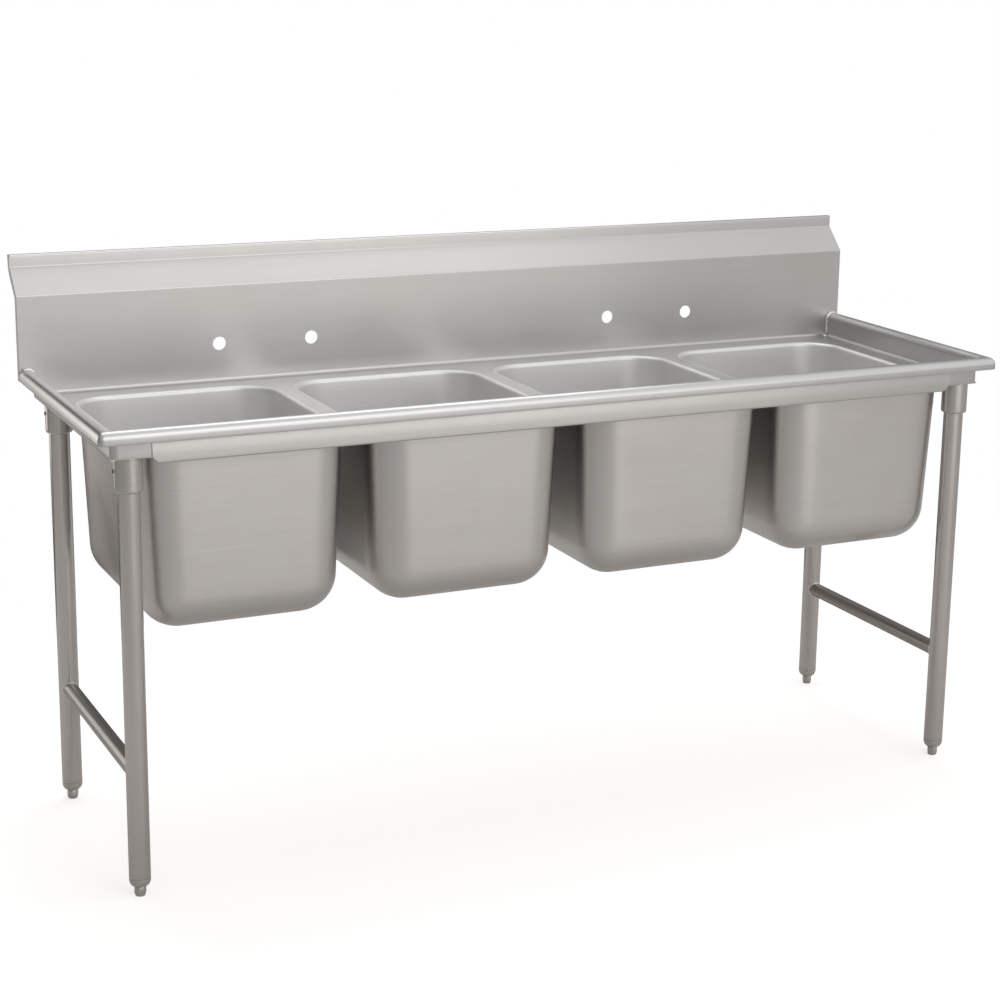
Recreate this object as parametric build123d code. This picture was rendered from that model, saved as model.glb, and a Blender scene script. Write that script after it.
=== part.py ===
from build123d import *

import os
from math import radians, tan

# Four compartment scullery sink, all stainless steel, in millimetres.
# X runs along the sink, -Y is the side a person stands at, +Y is the wall, Z is up.
# The origin is on the floor, at the centre of the sink's outline.

# ---- Driving dimensions ---------------------------------------------------------------------
SHEET = 2.0              # thickness of every formed sheet
LENGTH = 1956.0          # outside length over the rims and the splash
DEPTH = 686.0            # outside depth, from the rim's front to the wall
RIM_TOP = 914.0          # working height
DECK_TOP = 860.0         # flat deck around the bowls

# rolled rim: an upright wall that rolls over outwards
ROLL_RADIUS = 15.0
ROLL_REACH = 28.0        # from the wall's outer face to the roll's outer face
ROLL_LIP = 10.0          # straight lip under the roll

# splash: tall face, 45 degree setback, short lip, and a return to the wall
SPLASH_FACE = 203.0
SPLASH_SETBACK = 51.0
SPLASH_LIP = 25.0
SPLASH_RETURN = 15.0
FAUCET_SPACING = 203.2
FAUCET_HEIGHT = 80.0     # above the deck
FAUCET_HOLE_RADIUS = 14.3

# front apron
APRON_TOP = 890.0
APRON_BOTTOM = 844.0
APRON_HALF_BOTTOM = 860.0   # its lower corners are cut at 45 degrees, up to the deck's underside

# bowls
BOWLS = 4
BOWL_PITCH = 457.2
BOWL_WIDTH = 406.4
BOWL_DEPTH = 508.0       # front to back
BOWL_FRONT = -295.0      # front edge of the openings
BOWL_DROP = 356.0
BOWL_DRAFT = 2.0         # degrees
BOWL_CORNER_TOP = 76.0
BOWL_CORNER_BOTTOM = 75.0
BOWL_FLOOR_RADIUS = 74.0

# legs
LEG_X = 912.0
LEG_FRONT_Y = -287.0
LEG_REAR_Y = 233.0
LEG_RADIUS = 20.65
LEG_WALL = 1.65
LEG_TOP = 850.0
LEG_BOTTOM = 38.0
RAIL_RADIUS = 15.9
RAIL_WALL = 1.5
RAIL_HEIGHT = 245.0

# leg sockets under the deck
SOCKET_RADIUS = 27.0
SOCKET_BORE = 20.95
SOCKET_BOTTOM = 790.0
SOCKET_PLATE = 3.0       # thickness of the plate above a socket
PLATE_HALF = 26.0
SCREW_RADIUS = 3.95
SCREW_HOLE = 4.0
SCREW_HEIGHT = 830.0

# adjustable bullet feet
STUB_HEIGHT = 19.0
STUB_FLATS = 20.0
STUD_RADIUS = 6.3
STUD_BORE = 6.35
STUD_TOP = 68.0
INSERT_TOP = 76.0
INSERT_GAP = 0.3         # between the foot's head and the insert's nose

# drains, near the back of each bowl
DRAIN_Y = 60.0
DRAIN_HOLE = 44.0
FLANGE_RADIUS = 57.0
CUP_RADIUS = 42.0
CUP_BORE = 39.5
TAIL_RADIUS = 23.9
TAIL_BORE = 20.5
CUP_DROP = 30.0          # below the bowl's underside
TAIL_DROP = 50.0

# ---- Worked out from the driving dimensions ----------------------------------------------------
HALF_LENGTH = LENGTH / 2
FRONT = -DEPTH / 2
WALL_PLANE = DEPTH / 2
PAN_HALF = HALF_LENGTH - ROLL_REACH            # outer face of the end walls
PAN_FRONT = FRONT + ROLL_REACH                 # outer face of the front wall
SPLASH_Y = WALL_PLANE - SPLASH_RETURN - SPLASH_SETBACK
DECK_UNDER = DECK_TOP - SHEET
ROLL_CENTRE_Z = RIM_TOP - ROLL_RADIUS
RIM_BOTTOM = ROLL_CENTRE_Z - ROLL_LIP
BOWL_Y = BOWL_FRONT + BOWL_DEPTH / 2
BOWL_FLOOR = DECK_TOP - BOWL_DROP
BOWL_UNDER = BOWL_FLOOR - SHEET
BOWL_XS = [(i - (BOWLS - 1) / 2) * BOWL_PITCH for i in range(BOWLS)]
FAUCET_XS = [-BOWL_PITCH, BOWL_PITCH]
CORNERS = {
    "front_left": (-LEG_X, LEG_FRONT_Y),
    "front_right": (LEG_X, LEG_FRONT_Y),
    "rear_left": (-LEG_X, LEG_REAR_Y),
    "rear_right": (LEG_X, LEG_REAR_Y),
}


def box(x0, x1, y0, y1, z0, z1):
    """A box from its lowest and highest corners."""
    centre = ((x0 + x1) / 2, (y0 + y1) / 2, (z0 + z1) / 2)
    return Pos(*centre) * Box(x1 - x0, y1 - y0, z1 - z0)


def rod(x, y, z0, z1, radius):
    """An upright cylinder."""
    return Pos(x, y, (z0 + z1) / 2) * Cylinder(radius, z1 - z0)


def tube(x, y, z0, z1, outer, inner):
    """An upright tube."""
    return rod(x, y, z0, z1, outer) - rod(x, y, z0 - 1, z1 + 1, inner)


def turned(x, y, *outline):
    """A solid of revolution about an upright axis, from (radius, height) points."""
    profile = make_face(Plane.XZ * Polyline(*outline, close=True))
    return Pos(x, y, 0) * revolve(profile, Axis.Z)


def prism_x(outline, x0, x1):
    """A (y, z) outline pushed along X."""
    face = make_face(Plane.YZ * Polyline(*outline, close=True))
    return Pos(x0, 0, 0) * extrude(face, amount=x1 - x0, dir=(1, 0, 0))


def prism_z(outline, z0, z1):
    """An (x, y) outline pushed up."""
    face = make_face(Plane.XY * Polyline(*outline, close=True))
    return Pos(0, 0, z0) * extrude(face, amount=z1 - z0, dir=(0, 0, 1))


def one(shape):
    """The single solid of a shape, so that no empty wrapper is exported."""
    solids = shape.solids()
    return solids[0] if len(solids) == 1 else Compound(children=list(solids))


# ---- Deck, rims, splash and apron ---------------------------------------------------------------
def rounded_prism(x, y, width, depth, radius, z0, z1):
    """An upright prism with rounded corners."""
    return Pos(x, y, z0) * extrude(RectangleRounded(width, depth, radius), amount=z1 - z0)


def make_deck():
    """The flat deck, with an opening over each bowl."""
    plate = box(-PAN_HALF + SHEET, PAN_HALF - SHEET, PAN_FRONT + SHEET, SPLASH_Y, DECK_UNDER, DECK_TOP)
    for x in BOWL_XS:
        plate -= rounded_prism(x, BOWL_Y, BOWL_WIDTH, BOWL_DEPTH, BOWL_CORNER_TOP, DECK_UNDER - 1, DECK_TOP + 1)
    return plate


def rim_profile():
    """The rim's section, seen along +X: y is measured inwards from the roll's outer face."""
    centre = Pos(ROLL_RADIUS, ROLL_CENTRE_Z)
    ring = centre * (Circle(ROLL_RADIUS) - Circle(ROLL_RADIUS - SHEET))
    upper = Pos(ROLL_RADIUS, ROLL_CENTRE_Z + ROLL_RADIUS) * Rectangle(3 * ROLL_RADIUS, 2 * ROLL_RADIUS)
    lip = Pos(SHEET / 2, ROLL_CENTRE_Z - ROLL_LIP / 2) * Rectangle(SHEET, ROLL_LIP)
    wall_height = ROLL_CENTRE_Z - DECK_UNDER
    wall_y = ROLL_REACH + SHEET / 2
    wall = Pos(wall_y, ROLL_CENTRE_Z - wall_height / 2) * Rectangle(SHEET, wall_height)
    return (ring & upper) + lip + wall


def rim_bar(length):
    """A straight length of rim along X, centred, with its outer face at y = 0."""
    face = Plane.YZ * rim_profile()
    return Pos(-length / 2, 0, 0) * extrude(face, amount=length, dir=(1, 0, 0))


def make_front_rim():
    """The front rim, mitred at both ends."""
    reach = ROLL_REACH + 2 * SHEET + 1
    zone = [
        (-HALF_LENGTH, FRONT),
        (HALF_LENGTH, FRONT),
        (HALF_LENGTH - reach, FRONT + reach),
        (-HALF_LENGTH + reach, FRONT + reach),
    ]
    return (Pos(0, FRONT, 0) * rim_bar(LENGTH)) & prism_z(zone, DECK_UNDER - 1, RIM_TOP + 1)


def make_left_rim():
    """The left rim, mitred at the front and square against the splash."""
    reach = ROLL_REACH + 2 * SHEET + 1
    zone = [
        (-HALF_LENGTH, FRONT),
        (-HALF_LENGTH + reach, FRONT + reach),
        (-HALF_LENGTH + reach, SPLASH_Y),
        (-HALF_LENGTH, SPLASH_Y),
    ]
    bar = Pos(-HALF_LENGTH, 0, 0) * (Rot(0, 0, -90) * rim_bar(2 * DEPTH))
    return bar & prism_z(zone, DECK_UNDER - 1, RIM_TOP + 1)


def splash_line(offset):
    """The splash's section as (y, z) points, moved back by an offset square to the sheet."""
    bevel = offset * tan(radians(22.5))
    knee = DECK_TOP + SPLASH_FACE
    return [
        (SPLASH_Y + offset, DECK_UNDER),
        (SPLASH_Y + offset, knee - bevel),
        (SPLASH_Y + SPLASH_SETBACK + offset, knee + SPLASH_SETBACK - bevel),
        (SPLASH_Y + SPLASH_SETBACK + offset, knee + SPLASH_SETBACK + SPLASH_LIP),
    ]


def make_backsplash():
    """The splash sheet, with its faucet holes and the return that meets the wall."""
    sheet = prism_x(splash_line(0) + splash_line(SHEET)[::-1], -HALF_LENGTH, HALF_LENGTH)
    top = DECK_TOP + SPLASH_FACE + SPLASH_SETBACK + SPLASH_LIP
    lip_y = SPLASH_Y + SPLASH_SETBACK
    sheet += box(-HALF_LENGTH, HALF_LENGTH, lip_y, WALL_PLANE, top - SHEET, top)
    sheet += box(-HALF_LENGTH, HALF_LENGTH, WALL_PLANE - SHEET, WALL_PLANE, top - SPLASH_RETURN, top)
    for side in (-1, 1):
        inner = side * PAN_HALF
        outer = side * (HALF_LENGTH + 1)
        sheet -= box(min(inner, outer), max(inner, outer), SPLASH_Y - 1, WALL_PLANE, DECK_UNDER - 1, RIM_BOTTOM)
    for centre in FAUCET_XS:
        for side in (-1, 1):
            hole = Rot(90, 0, 0) * Cylinder(FAUCET_HOLE_RADIUS, 20)
            sheet -= Pos(centre + side * FAUCET_SPACING / 2, SPLASH_Y, DECK_TOP + FAUCET_HEIGHT) * hole
    return sheet


def make_splash_return(side):
    """The narrow flange that closes the end of the splash and follows its section."""
    inner = splash_line(SHEET)
    outer = splash_line(SPLASH_RETURN)
    outline = [(y, max(z, RIM_BOTTOM)) for y, z in inner] + [(y, max(z, RIM_BOTTOM)) for y, z in outer[::-1]]
    start = -HALF_LENGTH if side < 0 else HALF_LENGTH - SHEET
    return prism_x(outline, start, start + SHEET) - make_return_clearance()


def make_return_clearance():
    """The room that the splash's own top return takes."""
    top = DECK_TOP + SPLASH_FACE + SPLASH_SETBACK + SPLASH_LIP
    shelf = box(-LENGTH, LENGTH, SPLASH_Y, WALL_PLANE + 1, top - SHEET, top + 1)
    hem = box(-LENGTH, LENGTH, WALL_PLANE - SHEET, WALL_PLANE + 1, top - SPLASH_RETURN, top + 1)
    return shelf + hem


def make_apron():
    """The apron under the front rim, with both ends cut at 45 degrees."""
    half_top = APRON_HALF_BOTTOM + DECK_UNDER - APRON_BOTTOM
    outline = [
        (-APRON_HALF_BOTTOM, APRON_BOTTOM),
        (APRON_HALF_BOTTOM, APRON_BOTTOM),
        (half_top, DECK_UNDER),
        (half_top, APRON_TOP),
        (-half_top, APRON_TOP),
        (-half_top, DECK_UNDER),
    ]
    face = make_face(Plane.XZ * Polyline(*outline, close=True))
    return Pos(0, PAN_FRONT - SHEET, 0) * extrude(face, amount=SHEET, dir=(0, 1, 0))


# ---- Bowls ---------------------------------------------------------------------------------------
def bowl_form(grow):
    """A drafted, round-cornered bowl shape about the axis, grown outwards by a thickness."""
    inset = 2 * BOWL_DROP * tan(radians(BOWL_DRAFT))
    top = RectangleRounded(BOWL_WIDTH + 2 * grow, BOWL_DEPTH + 2 * grow, BOWL_CORNER_TOP + grow)
    floor = RectangleRounded(
        BOWL_WIDTH - inset + 2 * grow, BOWL_DEPTH - inset + 2 * grow, BOWL_CORNER_BOTTOM + grow
    )
    floor_z = BOWL_FLOOR - grow
    form = loft([Pos(0, 0, floor_z) * floor, Pos(0, 0, DECK_TOP) * top])
    edges = form.edges().filter_by_position(Axis.Z, floor_z - 0.1, floor_z + 0.1)
    return fillet(edges, BOWL_FLOOR_RADIUS + grow)


def make_bowl():
    """A bowl on the axis, with its drain hole, up to the deck's underside."""
    shell = bowl_form(SHEET) - bowl_form(0)
    shell -= box(-BOWL_WIDTH, BOWL_WIDTH, -BOWL_DEPTH, BOWL_DEPTH, DECK_UNDER, DECK_TOP + 1)
    return shell - rod(0, DRAIN_Y - BOWL_Y, BOWL_UNDER - 1, BOWL_FLOOR + 1, DRAIN_HOLE)


# ---- Legs, sockets and feet ----------------------------------------------------------------------
def make_socket(x, y):
    """A leg socket with a rounded mouth and a cross hole for its set screw."""
    body = rod(x, y, SOCKET_BOTTOM, DECK_UNDER - SOCKET_PLATE, SOCKET_RADIUS)
    body = fillet(body.edges().sort_by(Axis.Z)[0], 4)
    body -= rod(x, y, SOCKET_BOTTOM - 1, DECK_UNDER, SOCKET_BORE)
    side = 1 if x > 0 else -1
    cross = Rot(0, 90, 0) * Cylinder(SCREW_HOLE, 2 * (SOCKET_RADIUS - SOCKET_BORE) + 4)
    return body - Pos(x + side * (SOCKET_RADIUS + SOCKET_BORE) / 2, y, SCREW_HEIGHT) * cross


def make_set_screws():
    """The four set screws, with hexagon sockets, that clamp the legs."""
    screws = []
    length = SOCKET_RADIUS + 1.5 - LEG_RADIUS
    for x, y in CORNERS.values():
        side = 1 if x > 0 else -1
        screw = Cylinder(SCREW_RADIUS, length)
        key = Pos(0, 0, length / 2 - 1.5) * extrude(RegularPolygon(2.3, 6), amount=4)
        turned_out = Rot(0, 90 * side, 0) * (screw - key)
        screws.append(Pos(x + side * (LEG_RADIUS + length / 2), y, SCREW_HEIGHT) * turned_out)
    return Compound(children=[one(screw) for screw in screws])


def make_socket_plate(x, y):
    """The small plate that joins a socket to the deck, cut back around the bowl's corner."""
    side = 1 if x > 0 else -1
    outer = side * (PAN_HALF - SHEET)
    inner = x - side * PLATE_HALF
    plate = box(
        min(inner, outer), max(inner, outer), y - PLATE_HALF, y + PLATE_HALF, DECK_UNDER - SOCKET_PLATE, DECK_UNDER
    )
    nearest = min(BOWL_XS, key=lambda bowl_x: abs(bowl_x - x))
    corner_x = nearest + side * (BOWL_WIDTH / 2 - BOWL_CORNER_TOP)
    front = y < BOWL_Y
    corner_y = BOWL_Y + (BOWL_DEPTH / 2 - BOWL_CORNER_TOP) * (-1 if front else 1)
    return plate - rod(corner_x, corner_y, 0, RIM_TOP, BOWL_CORNER_TOP + SHEET + 1)


def make_rail(x):
    """A cross rail between the front and the rear leg, coped to both."""
    length = LEG_REAR_Y - LEG_FRONT_Y
    centre = Pos(x, (LEG_REAR_Y + LEG_FRONT_Y) / 2, RAIL_HEIGHT) * Rot(90, 0, 0)
    rail = centre * (Cylinder(RAIL_RADIUS, length) - Cylinder(RAIL_RADIUS - RAIL_WALL, length + 2))
    for y in (LEG_FRONT_Y, LEG_REAR_Y):
        rail -= rod(x, y, 0, LEG_TOP, LEG_RADIUS)
    return max(rail.solids(), key=lambda solid: solid.volume)


def make_foot_insert(x, y):
    """The insert pressed into a leg, with a rounded nose and a threaded bore."""
    nose = STUB_HEIGHT + INSERT_GAP
    plug = LEG_RADIUS - LEG_WALL - 0.05
    return turned(
        x, y,
        (STUD_BORE, nose), (11.5, nose), (15.5, nose + 2.5), (18.8, nose + 7.5), (LEG_RADIUS, nose + 14),
        (LEG_RADIUS, LEG_BOTTOM), (plug, LEG_BOTTOM), (plug, INSERT_TOP), (STUD_BORE, INSERT_TOP),
    )


def make_foot(x, y):
    """A foot: a hexagonal head with a chamfered sole, on a stud."""
    head = Pos(x, y, 0) * extrude(RegularPolygon(STUB_FLATS / 2, 6, major_radius=False), amount=STUB_HEIGHT)
    envelope = turned(
        x, y, (0, 0), (STUB_FLATS / 2 - 2.5, 0), (STUB_FLATS / 2 + 0.6, 4), (STUB_FLATS / 2 + 1, STUB_HEIGHT - 1.5),
        (STUB_FLATS / 2 - 0.6, STUB_HEIGHT), (0, STUB_HEIGHT),
    )
    return (head & envelope) + rod(x, y, STUB_HEIGHT - 1, STUD_TOP, STUD_RADIUS)


# ---- Drains -------------------------------------------------------------------------------------
def make_drain_body(x):
    """The flanged drain body: a cup that holds the basket, above a threaded outlet."""
    flange_top = BOWL_FLOOR + 2
    seat = BOWL_UNDER - CUP_DROP
    end = BOWL_UNDER - TAIL_DROP
    return turned(
        x, DRAIN_Y,
        (CUP_BORE, flange_top), (FLANGE_RADIUS - 1.5, flange_top), (FLANGE_RADIUS, BOWL_FLOOR), (CUP_RADIUS, BOWL_FLOOR),
        (CUP_RADIUS, seat), (TAIL_RADIUS, seat), (TAIL_RADIUS, end), (TAIL_BORE, end),
        (TAIL_BORE, seat + 2.5), (CUP_BORE, seat + 2.5),
    )


def make_ring(x, outer, top, thickness):
    """A flat ring around a drain's cup."""
    return tube(x, DRAIN_Y, top - thickness, top, outer, CUP_RADIUS + 0.2)


def make_locknut(x, top, height):
    """The round locknut with six lugs."""
    nut = rod(x, DRAIN_Y, top - height, top, 51)
    for i in range(6):
        lug = Rot(0, 0, 60 * i) * box(45, 58, -6, 6, top - height, top)
        nut += Pos(x, DRAIN_Y, 0) * lug
    return nut - rod(x, DRAIN_Y, top - height - 1, top + 1, CUP_RADIUS + 0.05)


def make_basket(x):
    """The lift-out basket: a perforated cup with a post, a knob and a stopper under it."""
    seat = BOWL_UNDER - CUP_DROP + 2.5
    floor = seat + 4
    rim = BOWL_FLOOR - 1
    knob = BOWL_FLOOR - 3
    cup = turned(
        x, DRAIN_Y,
        (0, floor), (34, floor), (35, floor + 1), (36, rim - 1), (38.7, rim - 1), (38.7, rim), (34.8, rim),
        (33.5, floor + 1.5), (0, floor + 1.5),
    )
    post = turned(
        x, DRAIN_Y,
        (0, floor), (3, floor), (3, knob), (7, knob + 2), (8, knob + 4.5), (6, knob + 6.5), (0, knob + 7),
    )
    stopper = turned(x, DRAIN_Y, (0, seat + 0.3), (23, seat + 0.3), (25.5, floor), (0, floor))
    basket = cup + post
    for i in range(12):
        drill = Rot(0, 0, 30 * i) * Pos(29, 0, floor) * Cylinder(2, 8)
        basket -= Pos(x, DRAIN_Y, 0) * drill
    return basket + stopper


# ---- All the nodes --------------------------------------------------------------------------------
def build():
    """Every node of the sink, by name."""
    left_rim = make_left_rim()
    nodes = {
        "deck": make_deck(),
        "front_rim": make_front_rim(),
        "left_rim": left_rim,
        "right_rim": mirror(left_rim, about=Plane.YZ),
        "backsplash": make_backsplash(),
        "left_splash_return": make_splash_return(-1),
        "right_splash_return": make_splash_return(1),
        "front_apron": make_apron(),
        "left_cross_rail": make_rail(-LEG_X),
        "right_cross_rail": make_rail(LEG_X),
        "set_screws": make_set_screws(),
    }
    bowl = make_bowl()
    for number, x in enumerate(BOWL_XS, 1):
        nodes[f"bowl_{number}"] = Pos(x, BOWL_Y, 0) * bowl
        nodes[f"drain_body_{number}"] = make_drain_body(x)
        nodes[f"drain_gasket_{number}"] = make_ring(x, 55, BOWL_UNDER, 3)
        nodes[f"drain_washer_{number}"] = make_ring(x, 54, BOWL_UNDER - 3, 1.5)
        nodes[f"drain_locknut_{number}"] = make_locknut(x, BOWL_UNDER - 4.5, 10)
        nodes[f"drain_basket_{number}"] = make_basket(x)
    for name, (x, y) in CORNERS.items():
        nodes[f"leg_{name}"] = tube(x, y, LEG_BOTTOM, LEG_TOP, LEG_RADIUS, LEG_RADIUS - LEG_WALL)
        nodes[f"leg_socket_{name}"] = make_socket(x, y)
        nodes[f"socket_plate_{name}"] = make_socket_plate(x, y)
        nodes[f"foot_insert_{name}"] = make_foot_insert(x, y)
        nodes[f"foot_{name}"] = make_foot(x, y)
    return nodes


os.makedirs("parts", exist_ok=True)
for node, shape in build().items():
    export_step(one(shape), f"parts/{node}.step")
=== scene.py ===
import math

import bmesh
import bpy
import numpy as np
from mathutils import Matrix, Vector
from mathutils.geometry import tessellate_polygon


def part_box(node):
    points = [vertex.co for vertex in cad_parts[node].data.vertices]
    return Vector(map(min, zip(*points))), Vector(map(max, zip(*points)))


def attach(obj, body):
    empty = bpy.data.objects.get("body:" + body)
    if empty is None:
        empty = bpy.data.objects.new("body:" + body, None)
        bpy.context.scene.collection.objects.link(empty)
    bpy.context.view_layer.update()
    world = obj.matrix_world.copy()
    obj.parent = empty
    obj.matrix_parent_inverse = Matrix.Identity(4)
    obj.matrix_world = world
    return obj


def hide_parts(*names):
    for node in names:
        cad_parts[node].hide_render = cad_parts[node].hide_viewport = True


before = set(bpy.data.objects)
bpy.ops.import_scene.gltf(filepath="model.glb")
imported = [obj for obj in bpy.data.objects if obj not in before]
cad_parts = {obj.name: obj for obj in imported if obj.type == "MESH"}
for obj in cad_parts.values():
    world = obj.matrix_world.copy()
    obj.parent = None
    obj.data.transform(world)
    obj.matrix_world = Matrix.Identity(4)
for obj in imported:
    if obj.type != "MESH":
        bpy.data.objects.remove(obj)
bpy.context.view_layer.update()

# A four compartment scullery sink. The CAD nodes give the places and sizes, and most of them are replaced
# by finer meshes with rounded bends, rolled edges, welds and threads.

# ---- Sizes, in metres, read from the frame --------------------------
SHEET = 0.002
SINK = "sink"
CORNERS = ("front_left", "front_right", "rear_left", "rear_right")
BOWLS = (1, 2, 3, 4)

rim_low, rim_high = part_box("front_rim")
deck_low, deck_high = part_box("deck")
splash_low, splash_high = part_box("backsplash")
HALF_LENGTH = rim_high.x                    # outer face of the end rims
FRONT = rim_low.y                           # outer face of the front rim
RIM_TOP = rim_high.z
DECK_TOP = deck_high.z
DECK_UNDER = deck_low.z
SPLASH_Y = deck_high.y                      # front face of the splash
SPLASH_TOP = splash_high.z
WALL_PLANE = splash_high.y
WALL_INSIDE = rim_high.y - FRONT            # from the roll's outer face to the wall's inner face
ROLL_RADIUS = WALL_INSIDE / 2
ROLL_Z = RIM_TOP - ROLL_RADIUS
RIM_BOTTOM = ROLL_Z - 0.010
STRIP_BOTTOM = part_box("socket_plate_front_left")[0].z - 0.0002    # just hides the socket plates' edges
PAN_HALF = HALF_LENGTH - WALL_INSIDE        # inner face of the end walls

SPLASH_RETURN = 0.015
SPLASH_LIP = 0.025
SPLASH_SETBACK = WALL_PLANE - SPLASH_RETURN - SPLASH_Y
SPLASH_KNEE = SPLASH_TOP - SPLASH_LIP - SPLASH_SETBACK
FAUCET_HOLE = 0.0143
FAUCET_HALF = 0.1016                        # half the distance between a pair of faucet holes
FAUCET_Z = DECK_TOP + 0.080

BOWL_HALF_X = 0.2032
BOWL_HALF_Y = 0.254
BOWL_CORNER = 0.076
BOWL_CORNER_LOSS = 0.001                    # the corner is this much tighter at the floor
BOWL_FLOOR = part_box("bowl_1")[0].z + SHEET
BOWL_FLOOR_RADIUS = 0.074
BOWL_DRAFT = math.radians(2.0)
DRAIN_OPENING = 0.044                       # radius of the hole in a bowl's floor
BOWL_EDGE = 0.009                           # rounding where a bowl turns into the deck
COVE = 0.007                                # rounding where the deck turns up into a wall

LENGTH_POINTS = 25                          # points along the parts that run the sink's whole length
JOINED = 2e-6                               # points closer than this become one


# ---- Mesh helpers ---------------------------------------------------
def piece(name, verts, faces, material, body=SINK, slot="sheet_steel", replaces=()):
    """A new mesh piece that rides on a body."""
    mesh = bpy.data.meshes.new(name)
    mesh.from_pydata([tuple(v) for v in verts], [], [tuple(f) for f in faces])
    mesh.validate()
    mesh.update()
    mesh.polygons.foreach_set("use_smooth", [True] * len(mesh.polygons))
    obj = bpy.data.objects.new(name, mesh)
    bpy.context.scene.collection.objects.link(obj)
    obj.data.materials.append(material)
    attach(obj, body)
    if replaces:
        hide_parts(*replaces)
    return obj


def sharpen(obj, degrees=32):
    """Keeps edges that turn by more than an angle crisp."""
    obj.data.set_sharp_from_angle(angle=math.radians(degrees))


class Builder:
    """Collects vertices and faces of one piece."""

    def __init__(self):
        self.verts = []
        self.faces = []

    def add(self, points):
        """Adds points and returns the index of the first."""
        start = len(self.verts)
        self.verts.extend(tuple(map(float, p)) for p in points)
        return start

    def grid(self, rows, close_rows=False, close_cols=False):
        """Quads over rows of points. close_cols joins each row's end to its start."""
        rows = [list(r) for r in rows]
        count, width = len(rows), len(rows[0])
        start = self.add(p for row in rows for p in row)
        for r in range(count if close_rows else count - 1):
            for c in range(width if close_cols else width - 1):
                r2, c2 = (r + 1) % count, (c + 1) % width
                self.faces.append(
                    (start + r * width + c, start + r2 * width + c, start + r2 * width + c2, start + r * width + c2)
                )
        return start

    def cap(self, loop, flip=False):
        """One face over a loop of points."""
        start = self.add(loop)
        face = list(range(start, start + len(loop)))
        self.faces.append(face[::-1] if flip else face)

    def panel(self, outlines, place, flip=False):
        """A flat face with holes: 2D outlines, the first one outside, put in space by place."""
        start = self.add(place(p) for outline in outlines for p in outline)
        flat = [[Vector((p[0], p[1], 0)) for p in outline] for outline in outlines]
        points = [p for outline in flat for p in outline]
        for tri in tessellate_polygon(flat):
            a, b, c = (points[i] for i in tri)
            if (b - a).cross(c - a).z < 0:
                tri = tri[::-1]
            tri = [start + i for i in tri]
            self.faces.append(tri[::-1] if flip else tri)

    def made(self, name, material, **kwargs):
        """The finished piece, with doubled points joined and normals made consistent."""
        obj = piece(name, self.verts, self.faces, material, **kwargs)
        tidy_mesh(obj)
        return obj


def tidy_mesh(obj):
    """Joins doubled points and turns every face outwards."""
    bm = bmesh.new()
    bm.from_mesh(obj.data)
    bmesh.ops.remove_doubles(bm, verts=bm.verts, dist=JOINED)
    bmesh.ops.recalc_face_normals(bm, faces=bm.faces)
    bm.to_mesh(obj.data)
    bm.free()
    obj.data.update()


def measured(node):
    """The middle of a CAD node's box, and the box's two corners."""
    low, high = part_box(node)
    return (low + high) / 2, low, high


def middle(node):
    """The middle of a CAD node's box."""
    return measured(node)[0]


def side_name(side):
    """The name of the sink's end on one side: -1 is left and 1 is right."""
    return "left" if side < 0 else "right"


def along(half):
    """Evenly spaced places along the sink, from -half to half."""
    return np.linspace(-half, half, LENGTH_POINTS)


def turn(steps):
    """The angles of one full turn."""
    return [2 * math.pi * i / steps for i in range(steps)]


def arc(cx, cy, radius, start, end, steps):
    """Points of an arc, both ends included; angles in degrees."""
    angles = np.radians(np.linspace(start, end, steps + 1))
    return [(cx + radius * math.cos(a), cy + radius * math.sin(a)) for a in angles]


def lathe(builder, profile, centre, steps=72):
    """Turns (radius, height) points about an upright axis."""
    angles = turn(steps)
    builder.grid(
        [
            [(centre[0] + radius * math.cos(a), centre[1] + radius * math.sin(a), height) for a in angles]
            for radius, height in profile
        ],
        close_cols=True,
    )


def bead(builder, path, radius, closed=False, ripple=0.0, pitch=0.0025):
    """A weld bead: a tube along a path whose thickness ripples."""
    off_axis = Vector((0.31, 0.87, 0.39))   # no bead runs in this direction
    end_taper, round_steps = 0.35, 8
    points = [Vector(p) for p in path]
    rows = []
    travelled = 0.0
    count = len(points)
    for i, p in enumerate(points):
        before = points[(i - 1) % count] if closed or i else p
        after = points[(i + 1) % count] if closed or i < count - 1 else p
        forward = (after - before).normalized()
        side = forward.cross(off_axis).normalized()
        up = forward.cross(side).normalized()
        travelled += (p - before).length
        r = radius * (1 + ripple * math.sin(2 * math.pi * travelled / pitch))
        if not closed and i in (0, count - 1):
            r *= end_taper
        rows.append([p + r * (math.cos(a) * side + math.sin(a) * up) for a in turn(round_steps)])
    builder.grid(rows, close_rows=closed, close_cols=True)
    if not closed:
        builder.cap(rows[0])
        builder.cap(rows[-1], flip=True)


def resample(path, step):
    """Points at an even spacing along a polyline."""
    points = [Vector(p) for p in path]
    lengths = [0.0]
    for a, b in zip(points, points[1:]):
        lengths.append(lengths[-1] + (b - a).length)
    count = max(2, int(lengths[-1] / step))
    made, k = [], 0
    for s in np.linspace(0, lengths[-1], count + 1):
        while k < len(points) - 2 and lengths[k + 1] < s:
            k += 1
        t = (s - lengths[k]) / max(lengths[k + 1] - lengths[k], 1e-9)
        made.append(points[k].lerp(points[k + 1], min(t, 1.0)))
    return made


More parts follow.
